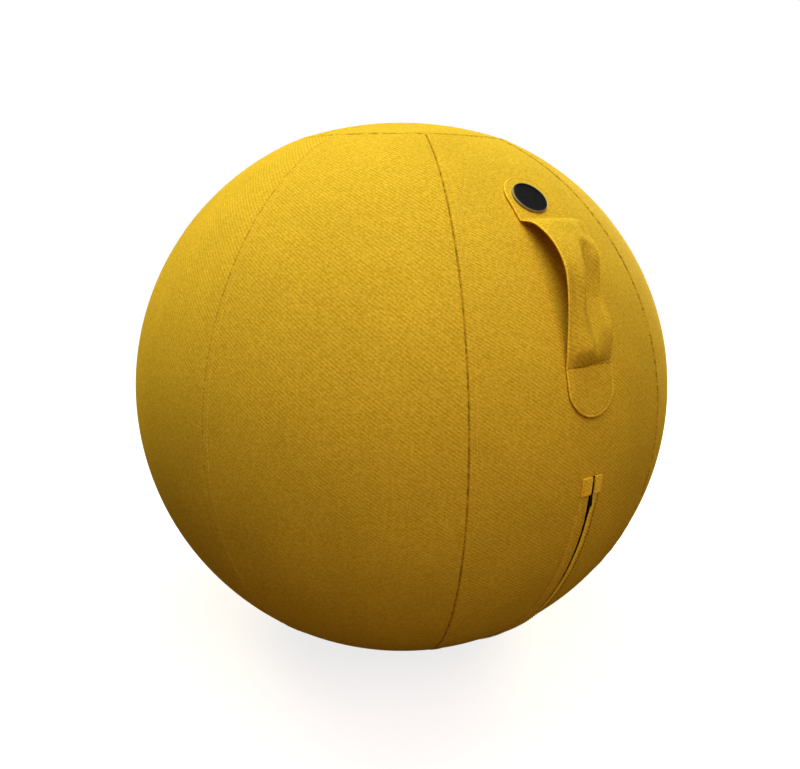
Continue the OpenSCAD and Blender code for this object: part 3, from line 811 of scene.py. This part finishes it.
# The stitching's channel, the pressed sewn lines and the puckers of the strap's surface
STRAP_STITCH_IN = 2.6 * MM
CHANNEL_H, CHANNEL_W = mm(0.42, 1.2)
PRESSED_H, PRESSED_W = mm(0.5, 1.4)
SEWN_LOW, SEWN_TOP, SEWN_TOP_FAINT = ARCH_BOTTOM - 0.4 * MM, ARCH_TOP + 3 * MM, 0.6 * MM
STRAP_THREAD_IN, SLOPE_STEP = mm(0.4, 0.5)
STRAP_STITCH = mm(3.6, 2.8, 0.6, 0.45)
STRAP_PUCKER_H, STRAP_PUCKER_W, STRAP_PUCKER_LENGTHS = 0.11 * MM, 14 * MM, mm(8, 20)


def through(at, value, t):
    """A smooth line through points: Hermite cubics, the slope at each point from its
    neighbours."""
    slope = np.gradient(value, at)
    i = np.clip(np.searchsorted(at, t) - 1, 0, len(at) - 2)
    width = at[i + 1] - at[i]
    s = np.clip((t - at[i]) / width, 0, 1)
    return ((1 + 2 * s) * (1 - s) ** 2 * value[i] + s * (1 - s) ** 2 * width * slope[i]
            + s * s * (3 - 2 * s) * value[i + 1] + s * s * (s - 1) * width * slope[i + 1])


def strap_folds(up, x, lift):
    """Soft folds of the slack part, added to its lift. The crest stands fuller, and leans
    down to the right. Right of a slanted line the strap sinks to a floor, which falls sharply
    below the crest and runs on level to a belly over the sewn line; its right edge turns up a
    little. A narrow ridge and a shallow trough lie left of the hollow."""
    slack = smooth(lift / SLACK_LIFT)
    fuller = (FULLER_H * ramp(up, *FULLER_TOP) * ramp(up, *FULLER_LOW)
              + CREST_H * bump(up, *CREST_UP) * ramp(x, *CREST_X))
    lean = LEAN_H * bump(up, *LEAN_UP) * ramp(x, *LEAN_X)
    bow = BOW_H * ((x - BOW_X[0]) / BOW_X[1]) ** 2 * ramp(up, *BOW_UP)
    gap = lift + fuller - through(FLOOR_UP, FLOOR_LIFT, up + bow)
    sink = 0.5 * (gap + np.hypot(gap, SINK_SOFT)) * ramp(up, *SINK_UP)
    across = ramp(x, np.interp(up, SINK_LINE_UP, SINK_LINE_X), SINK_W)
    soft = sum(height * bump(up, *along) * bump(x, *over)
               for height, along, over in (RIDGE, TROUGH, TURNED_UP))
    belly = (BELLY_H * ramp(up, ARCH_BOTTOM, BELLY_RISE) * (1 - ramp(up, *BELLY_FALL))
             * (1 - across) * ramp(x, -STRAP_HALF, BELLY_EDGE))
    return slack * (fuller - lean + soft) + belly - across * np.minimum(sink, SINK_SHARE * lift)


def strap_piece(name, node, slot, material, inset, seat, thick, outer):
    """One layer of the strap: two surfaces whose edges are rounded off to meet. The outer
    layer has soft folds in its slack part, a raised edge inside which the stitching presses
    a narrow channel, small puckers, and a pressed line across at each sewn end."""
    up, x = strap_grid(inset)
    to_edge = np.clip(edge_distance(up, x, inset), 0, None)
    lift = strap_lift(up, x)
    middle = seat + thick / 2 + lift + strap_folds(up, x, lift)
    pucker = STRAP_PUCKER_H * waves(up, x, 6, *STRAP_PUCKER_LENGTHS, 5) * hump(
        to_edge / STRAP_PUCKER_W)
    channel = -CHANNEL_H * bump(to_edge, STRAP_STITCH_IN, CHANNEL_W)
    sewn = np.minimum(np.abs(up - SEWN_LOW), np.abs(up - SEWN_TOP) + SEWN_TOP_FAINT)
    pressed = -PRESSED_H * hump(sewn / PRESSED_W)
    half = thick / 2 * rounded(to_edge / (thick / 2))
    # painted shade along both sewn lines, and a painted highlight, partly wear, along the layer's
    # edges
    piece = front_cloth(name, up, x, middle + half + outer * (pucker + channel + pressed),
                        middle - half, x, seam=sewn, fold=to_edge)
    dress(piece, material, slot, node)
    return piece


def strap_outline(inset):
    """Places all round a line at one distance inside the strap's edge."""
    half = STRAP_HALF - inset
    top_centre, low_centre = STRAP_TOP - STRAP_HALF, STRAP_TONGUE + STRAP_HALF
    straight = top_centre - low_centre
    arc = math.pi * half
    s = np.linspace(0, 2 * (straight + arc), OUTLINE_POINTS, endpoint=False)
    run_up, run_down = np.clip([s, s - straight - arc], 0, straight)
    turned = np.clip([s - straight, s - 2 * straight - arc], 0, arc).sum(axis=0) / half
    return low_centre + run_up - run_down + half * np.sin(turned), -half * np.cos(turned)


def strap_line(name, up, x):
    """A row of stitches along places on the strap's outer surface."""
    lift = strap_lift(up, x)
    height = STRAP_SEAT + STRAP_T + lift + strap_folds(up, x, lift) - STRAP_THREAD_IN

    def above(further):
        return on_front(up + further, x, STRAP_SEAT + STRAP_T + strap_lift(up + further, x))

    out = np.cross(on_front(up, x + SLOPE_STEP, height) - on_front(up, x - SLOPE_STEP, height),
                   above(SLOPE_STEP) - above(-SLOPE_STEP))
    return sewn_row(name, on_front(up, x, height), out, STRAP_STITCH, 20)


strap = strap_piece("handle_strap_cloth", "handle_strap", "cover_fabric", cover_cloth, 0.0,
                    STRAP_SEAT, STRAP_T, 1.0)
lining = strap_piece("handle_lining_cloth", "handle_lining", "lining_fabric", lining_cloth,
                     LINING_INSET, LINING_SEAT, LINING_T, 0.0)
edge_row = strap_line("strap_edge_stitch", *strap_outline(STRAP_STITCH_IN))
LOW_ROW_HALF = STRAP_HALF - 5 * MM
LOW_ROW_UP = ARCH_BOTTOM - 4 * MM
low_x = np.linspace(-LOW_ROW_HALF, LOW_ROW_HALF, 60)
low_row = strap_line("strap_low_stitch", LOW_ROW_UP + 0 * low_x, low_x)

# The badge

BADGE_SEGMENTS = 128
BADGE_SEAT = 3.05 * MM
# Sections as radius and height, and the radius that rounds their corners
BADGE_PLATE = mm((0, -0.4), (18.1, -0.5), (18.4, 0.2), (18.1, 1.75), (17.3, 1.85), (16.6, 1.45),
                 (14.1, 1.3), (0, 1.5))
BADGE_RIM = mm((18, -0.4), (19, -0.4), (19, 1.4), (18.55, 2.2), (18.2, 2), (18, 1.4))
PLATE_ROUND, RIM_ROUND = mm(0.35, 0.25)


def turned_piece(name, section, base, outward, upward):
    """A lathe shape about the outward line through base, from (radius, height) pairs: a
    profile from the axis round and back to it, or a ring's closed section off the axis."""
    solid = section[0, 0] == 0
    ring = section[1:-1] if solid else section
    turn = circle(BADGE_SEGMENTS)
    direction = (np.outer(np.cos(turn), np.cross(upward, outward))
                 + np.outer(np.sin(turn), upward))
    points = (base + ring[:, None, :1] * direction + ring[:, None, 1:] * outward).reshape(-1, 3)
    count = len(points)
    if not solid:
        faces = grid_faces(len(ring) + 1, BADGE_SEGMENTS, around=True) % count
        return mesh_piece(name, points, [faces])
    ends = base + section[[0, -1], 1:] * outward
    first = np.arange(BADGE_SEGMENTS)
    faces = [grid_faces(len(ring), BADGE_SEGMENTS, around=True), fan(first, count)[:, ::-1],
             fan(first + count - BADGE_SEGMENTS, count + 1)]
    return mesh_piece(name, np.concatenate([points, ends]), faces)


def smooth_profile(corners, radius, steps=4):
    """A profile whose inner corners are rounded by cutting each off and easing between."""
    out = [corners[0]]
    for a, b, c in zip(corners[:-2], corners[1:-1], corners[2:]):
        back, on = a - b, c - b
        cut = min(radius, 0.45 * np.linalg.norm(back), 0.45 * np.linalg.norm(on))
        p, q = b + back / np.linalg.norm(back) * cut, b + on / np.linalg.norm(on) * cut
        t = np.linspace(0, 1, steps)[:, None]
        out.extend((1 - t) ** 2 * p + 2 * t * (1 - t) * b + t ** 2 * q)
    return np.array(out + [corners[-1]])


badge_angle, badge_turn = BADGE_UP / BALL_R, BADGE_LEFT / BALL_R
badge_front = np.array([0, -math.cos(badge_angle), math.sin(badge_angle)])
badge_up = np.array([0, math.sin(badge_angle), math.cos(badge_angle)])
badge_out = math.cos(badge_turn) * badge_front - math.sin(badge_turn) * np.array([1.0, 0, 0])
badge_base = CENTRE + badge_out * (BALL_R + BADGE_SEAT)
for name, section, corner, material, stands_for in (
        ("badge_plate", BADGE_PLATE, PLATE_ROUND, badge_plastic, ["badge"]),
        ("badge_rim", BADGE_RIM, RIM_ROUND, badge_rim_metal, [])):
    dress(turned_piece(name, smooth_profile(section, corner), badge_base, badge_out, badge_up),
          material, "badge_plastic", *stands_for)

# The slit's lips and tabs

SIDES = {"left": -1, "right": 1}
LIP_COLUMNS = 22
LIP_ROWS = 300
LIP_OVER_TOP = 1 * MM
LIP_BELOW = 4 * MM
LIP_HIGHLIGHT_SPREAD = 0.3
# A lip's gape below the tabs and its closing further down, both from the slit's top
LIP_GAPE, LIP_GAPE_AT = 0.85 * MM, mm(20, 36)
LIP_CLOSE, LIP_CLOSE_AT = 0.22 * MM, mm(60, 60)
LIP_FOLD_R = 0.75 * MM
LIP_EASE = 3.2 * MM
LIP_CROWN = {"left": 0.1 * MM, "right": 0.5 * MM}
LIP_CROWN_AT = mm(2.5, 4)
LIP_WAVE_H, LIP_WAVE_LENGTHS = 0.14 * MM, mm(12, 34)
LIP_DENT_H, LIP_DENT_W = mm(0.3, 1.6)
LIP_SINK, LIP_UNDER_SINK, LIP_THIN = mm(0.25, 0.45, 0.2)
LIP_STITCH_IN = {"left": 9.5 * MM, "right": 6.6 * MM}
LIP_STITCH = mm(4.4, 3.4, 0.8, 0.55)
THREAD_UP = 0.05 * MM


def lip(side_name):
    """A folded lip beside the slit: a round fold at its inner edge, a stitched line, and an
    outer edge that eases down onto the panel. It gapes a little below the tabs, and further
    down just leaves room for the pull."""
    name = f"slit_lip_{side_name}"
    side, width = SIDES[side_name], LIP_WIDTHS[side_name]
    down = np.linspace(SLIT_TOP - LIP_OVER_TOP, SLIT_BOTTOM + LIP_BELOW, LIP_ROWS)
    up, d = grid(-down, width * np.linspace(0, 1, LIP_COLUMNS) ** 1.4)
    from_top = down - SLIT_TOP
    gape = LIP_GAPE * bump(from_top, *LIP_GAPE_AT) - LIP_CLOSE * ramp(from_top, *LIP_CLOSE_AT)
    inner = LIP_GAP / 2 + gape
    x = ZIP_X + side * (inner[:, None] + d * (width - gape[:, None]) / width)
    fold = rounded(d / LIP_FOLD_R)
    ease = 1 - ramp(d, width - LIP_EASE, LIP_EASE)
    wave = waves(up, d, 5, *LIP_WAVE_LENGTHS, 11 + side)
    body = (FABRIC * ease + LIP_CROWN[side_name] * bump(d, *LIP_CROWN_AT)
            + LIP_WAVE_H * wave * ease)
    dent = -LIP_DENT_H * bump(d, LIP_STITCH_IN[side_name], LIP_DENT_W)
    high = LIP_H + body * (0.5 + 0.5 * fold) + dent * ease - LIP_SINK * (1 - ease)
    low = LIP_H + body * (0.5 - 0.5 * fold) - LIP_UNDER_SINK * (1 - ease)
    # painted highlight along the inner fold, spread wide over the raised right lip
    piece = front_cloth(name + "_cloth", up, x, high,
                        np.minimum(low, high - LIP_THIN * (d > 0)), side * d, flip=side > 0,
                        fold=d if side < 0 else LIP_HIGHLIGHT_SPREAD * d)
    dress(piece, cover_cloth, "cover_fabric", name)
    at = ZIP_X + side * (inner + LIP_STITCH_IN[side_name])
    line = on_front(-down, at, LIP_H + FABRIC + THREAD_UP)[2:-2]
    # the right lip's stitches use the dark thread, painted shade of their dimples
    row = sewn_row(name + "_stitch", line, line - CENTRE, LIP_STITCH, 30 + side,
                   None if side < 0 else painted_shadow_thread)


for side_of_slit in SIDES:
    lip(side_of_slit)

TAB_N = 26
TAB_HIGHLIGHT_SPREAD = 0.12
TAB_OVER_TOP = 2 * MM
TAB_CORNER = 2.2 * MM
TAB_ROUND = 0.9 * MM
TAB_STITCH_IN = 2.2 * MM
TAB_DENT_H, TAB_DENT_W = mm(0.28, 1.2)
TAB_WAVE_H, TAB_WAVE_LENGTHS = 0.12 * MM, mm(8, 18)
TAB_STITCH = mm(3.4, 2.6, 0.75, 0.5)
TAB_LINE_POWER = 0.35


def rounded_square(half_w, half_h):
    """A grid over a rectangle with round corners: each row is drawn in where it meets a
    corner. Gives its places across and up, and the half width of each row."""
    s = np.sin(0.5 * np.pi * np.linspace(-1, 1, TAB_N))
    v, across = grid(s * half_h, s)
    into = np.clip(np.abs(v) - (half_h - TAB_CORNER), 0, TAB_CORNER)
    reach = half_w - TAB_CORNER + np.sqrt(np.clip(TAB_CORNER ** 2 - into ** 2, 0, None))
    return across * reach, v, reach


def tab(side_name):
    """A small folded tab over a lip's top end: a cushion-edged patch with a stitched
    outline, sewn over the lip."""
    name = f"garage_tab_{side_name}"
    side, width = SIDES[side_name], LIP_WIDTHS[side_name]
    half_w, half_h = width / 2, TAB_H / 2
    middle_x = ZIP_X + side * (LIP_GAP / 2 + half_w)
    middle_up = TAB_OVER_TOP - SLIT_TOP - half_h
    u, v, reach = rounded_square(half_w, half_h)
    to_edge = np.minimum(reach - np.abs(u), half_h - np.abs(v))
    puff = rounded(to_edge / TAB_ROUND)
    dent = -TAB_DENT_H * bump(to_edge, TAB_STITCH_IN, TAB_DENT_W)
    wave = TAB_WAVE_H * waves(u, v, 4, *TAB_WAVE_LENGTHS, 17 + side)
    middle = TAB_LIFT + 0.55 * FABRIC
    # painted highlight over the raised tab, strongest near its edge
    piece = front_cloth(name + "_cloth", middle_up - v, middle_x + u,
                        middle + (0.55 * FABRIC + dent + wave) * puff,
                        middle - 0.5 * FABRIC * puff, u, flip=True, fold=TAB_HIGHLIGHT_SPREAD * to_edge)
    dress(piece, cover_cloth, "cover_fabric", name)
    turn = np.linspace(0, 2 * np.pi, 90)
    line_u, line_v = (
        (half - TAB_STITCH_IN) * np.sign(part) * np.abs(part) ** TAB_LINE_POWER
        for half, part in ((half_w, np.cos(turn)), (half_h, np.sin(turn))))
    line = on_front(middle_up - line_v, middle_x + line_u, middle + 0.4 * FABRIC)
    row = sewn_row(name + "_stitch", line, line - CENTRE, TAB_STITCH, 50 + side)


for side_of_slit in SIDES:
    tab(side_of_slit)

# The zip's tapes

TAPE_ROWS = 260
TAPE_STEPS = mm(0, 0.12, 0.35, 0.7, 1.05, 1.3, 1.7, 2.4, 4, 6, 8, 10, 12, 12.7, 13)
TAPE_OVER = 4 * MM
TAPE_ROUND = 0.3 * MM
TAPE_EDGE_SHARE = 0.35
TAPE_SLIMMER = 0.96
CORD_H, CORD_AT = 0.28 * MM, mm(0.7, 0.75)


def tape(side_name):
    """A woven zip tape: a flat band under the slit's edge, with a cord worked into the edge
    that holds the teeth."""
    name = f"zip_tape_{side_name}"
    side = SIDES[side_name]
    down = np.linspace(SLIT_TOP - TAPE_OVER, SLIT_BOTTOM + TAPE_OVER, TAPE_ROWS)
    up, d = grid(-down, TAPE_STEPS)
    ends = rounded(np.minimum(d, TAPE_W - d) / TAPE_ROUND)
    half = (TAPE_T / 2 * TAPE_SLIMMER * (TAPE_EDGE_SHARE + (1 - TAPE_EDGE_SHARE) * ends)
            + CORD_H * bump(d, *CORD_AT) * (d > 0))
    piece = front_cloth(name + "_cloth", up, ZIP_X + side * (BEAD_X + d),
                        half - TAPE_IN, -half - TAPE_IN, d, flip=side > 0)
    dress(piece, tape_cloth, "tape_fabric", name)


for side_of_slit in SIDES:
    tape(side_of_slit)

# The bladder, turned about its valve's axis

VALVE_TURN = 62 * MM / BALL_R
VALVE_DOWN = 150 * MM / BALL_R
VALVE_HOLE_R = 9.65 * MM
BLADDER_RINGS = 260
BLADDER_SEGMENTS = 300
# Ribs round the bladder: pitch, reach and height, as far as a distance above or below the
# middle; they fade in over an angle from the valve
RIB_PITCH, RIB_W, RIB_H, RIBBED = mm(24, 2.2, 0.35, 250)
RIB_FADE = 0.12
# The floor presses only on directions that point lower than this
FLOOR_SIDE = -0.5


def bladder():
    """The inflated bladder: rings from the valve's hole to the far point, on the sphere with
    its two flatter ends and the flat underside, with shallow moulded ribs round it."""
    out = np.array([math.sin(VALVE_TURN) * math.cos(VALVE_DOWN),
                    -math.cos(VALVE_TURN) * math.cos(VALVE_DOWN), -math.sin(VALVE_DOWN)])
    side = np.cross(out, [0, 0, 1.0])
    side /= np.linalg.norm(side)
    other = np.cross(side, out)
    start = math.asin(VALVE_HOLE_R / BLADDER_R)
    p, t = grid(np.linspace(start, np.pi, BLADDER_RINGS)[:-1], circle(BLADDER_SEGMENTS))
    way = (np.cos(p)[..., None] * out + np.sin(p)[..., None]
           * (np.cos(t)[..., None] * side + np.sin(t)[..., None] * other))
    way = np.concatenate([way.reshape(-1, 3), [-out]])

    def reach(depth):
        """Distance from the ball's centre to the skin at a depth, in every direction."""
        rise = np.abs(way[:, 2])
        end = CAP_R - BLADDER_IN - depth
        cap_reach = -CAP_CENTRE * rise + np.sqrt(end ** 2 - CAP_CENTRE ** 2 * (1 - rise ** 2))
        down = np.clip(-way[:, 2], NEAR, None)
        floor_reach = np.where(way[:, 2] < FLOOR_SIDE, (CENTRE_Z - BLADDER_IN - depth) / down, 1)
        return np.minimum(np.minimum(BLADDER_R - depth, cap_reach), floor_reach)

    wide = np.abs(way[:, 2]) * BLADDER_R
    rib = bump(wide % RIB_PITCH, RIB_PITCH / 2, RIB_W) * (wide < RIBBED)
    from_valve = np.concatenate([np.minimum((p.ravel() - start) / RIB_FADE, 1), [1]])
    top = CENTRE + way * (reach(0) - RIB_H * (1 - rib * from_valve))[:, None]
    under = CENTRE + way * reach(BLADDER_WALL)[:, None]
    pole = len(way) - 1
    parts = [grid_faces(*p.shape, around=True), fan(np.arange(pole - BLADDER_SEGMENTS, pole), pole)]
    piece = cloth_piece("bladder_shell", top, under, [part[:, ::-1] for part in parts],
                        way[:, ::2])
    dress(piece, bladder_rubber, "bladder_rubber", "bladder")


bladder()

# CAD nodes that keep their shape

for node, material in (("valve_seat", valve_rubber), ("valve_plug", plug_plastic),
                       ("zip_teeth_left", teeth_plastic), ("zip_teeth_right", teeth_plastic),
                       ("zip_top_stops", teeth_plastic), ("zip_bottom_stop", teeth_plastic),
                       ("zip_slider", slider_metal), ("zip_pull", slider_metal)):
    kept = frame["nodes"][node]
    kept.data.materials.clear()
    kept.data.materials.append(material)


# The floor, the light and the camera

FLOOR_R = 5.0
FLOOR_SEGMENTS = 96
# The floor's colour for light and for the camera, and its glow from near the ball outwards
FLOOR_BOUNCE = (0.18, 0.12, 0.08, 1)
FLOOR_SEEN = (0.42, 0.42, 0.42, 1)
GLOW_REACH = (0.35, 1.3)
GLOW_LEVELS = (0.80, 1.0)
AMBIENT = (0.040, 0.033, 0.036, 1)
WHITE = (1, 1, 1, 1)
# Name, azimuth and elevation in degrees, distance, width and height in metres, level, tint
LAMPS = (("key_left", -76, 65, 1.7, 0.9, 0.9, 0.16, (0.96, 1.0, 0.95)),
         ("key_right", -21, 44, 1.9, 1.1, 1.1, 0.445, (1.0, 0.775, 0.73)),
         ("top", 0, 88, 1.7, 1.4, 1.4, 0.46, (0.85, 1.0, 0.95)),
         ("rim_right", 104, 18, 1.7, 0.7, 0.9, 1.08, (1.0, 0.90, 0.45)),
         ("rim_left", -148, 40, 1.7, 0.7, 0.9, 0.52, (1.0, 0.84, 0.40)),
         ("front_low", -15, -4, 1.9, 1.4, 0.3, 0.04, (1.0, 0.62, 0.50)))


def floor():
    """A plain pale round floor. The camera sees it white but for the ball's soft shadow,
    and it throws back less light than it shows, as a dark sweep under a cut-out would."""
    turn = circle(FLOOR_SEGMENTS)
    edge = np.stack([FLOOR_R * np.cos(turn), FLOOR_R * np.sin(turn), 0 * turn - 0.2 * MM], axis=-1)
    piece = mesh_piece("floor", edge, [np.arange(FLOOR_SEGMENTS)[None]], smooth_faces=False)
    finish = new_finish("floor_paper")
    camera_sees = finish.node("LightPath", {}, "Is Camera Ray")
    x, y, _ = finish.split(finish.place())
    away = finish.math("SQRT", finish.math("ADD", finish.math("MULTIPLY", x, x),
                                           finish.math("MULTIPLY", y, y)))
    glow = finish.spread(away, *GLOW_REACH, *GLOW_LEVELS)
    finish.set(Base_Color=finish.blend(camera_sees, FLOOR_BOUNCE, FLOOR_SEEN),
               Roughness=0.9, Specular_IOR_Level=0.0, Emission_Color=WHITE,
               Emission_Strength=finish.math("MULTIPLY", camera_sees, glow))
    piece.data.materials.append(finish.owner)


def world():
    """White to the camera, in gloss and through glass; a low even light on the object."""
    finish = Finish(bpy.data.worlds.new("studio"), "Background")
    bpy.context.scene.world = finish.owner
    seen = finish.node("LightPath", {}, "Is Camera Ray")
    for kind in ("Is Glossy Ray", "Is Transmission Ray"):
        seen = finish.math("MAXIMUM", seen, finish.node("LightPath", {}, kind))
    finish.set(Color=finish.blend(seen, AMBIENT, WHITE), Strength=1.0)


def aimed(azimuth, elevation, distance):
    """A place and turn in the world: out from the ball's centre, looking back at it."""
    way = Vector((math.sin(azimuth) * math.cos(elevation),
                  -math.cos(azimuth) * math.cos(elevation), math.sin(elevation)))
    return (Matrix.Translation(Vector(CENTRE) + way * distance)
            @ way.to_track_quat("Z", "Y").to_matrix().to_4x4())


def softbox(name, azimuth, elevation, distance, width, height, level, tint):
    """An area lamp aimed at the ball. level is the share of white that a surface facing it
    would show: a lamp of pi squared times the distance squared, in watts, gives 1."""
    data = bpy.data.lights.new(name, "AREA")
    data.shape = "RECTANGLE"
    data.size, data.size_y = width, height
    data.energy = level * math.pi ** 2 * distance ** 2
    data.color = tint
    added(name, data).matrix_world = aimed(math.radians(azimuth), math.radians(elevation),
                                           distance)


floor()
world()
for lamp_row in LAMPS:
    softbox(*lamp_row)

camera_data = bpy.data.cameras.new("photo_camera")
camera_data.sensor_width = SENSOR_MM
camera_data.lens = CAMERA_FOCAL_PX / PHOTO_WIDTH * SENSOR_MM
camera_data.shift_x = -BALL_OFFSET_PX[0] / PHOTO_WIDTH
camera_data.shift_y = BALL_OFFSET_PX[1] / PHOTO_WIDTH
camera = added("photo_camera", camera_data)
camera.matrix_world = (aimed(CAMERA_AZIMUTH, CAMERA_ELEVATION, CAMERA_DISTANCE)
                       @ Matrix.Rotation(CAMERA_ROLL, 4, "Z"))
bpy.context.scene.camera = camera
bpy.context.scene.view_settings.view_transform = "Standard"
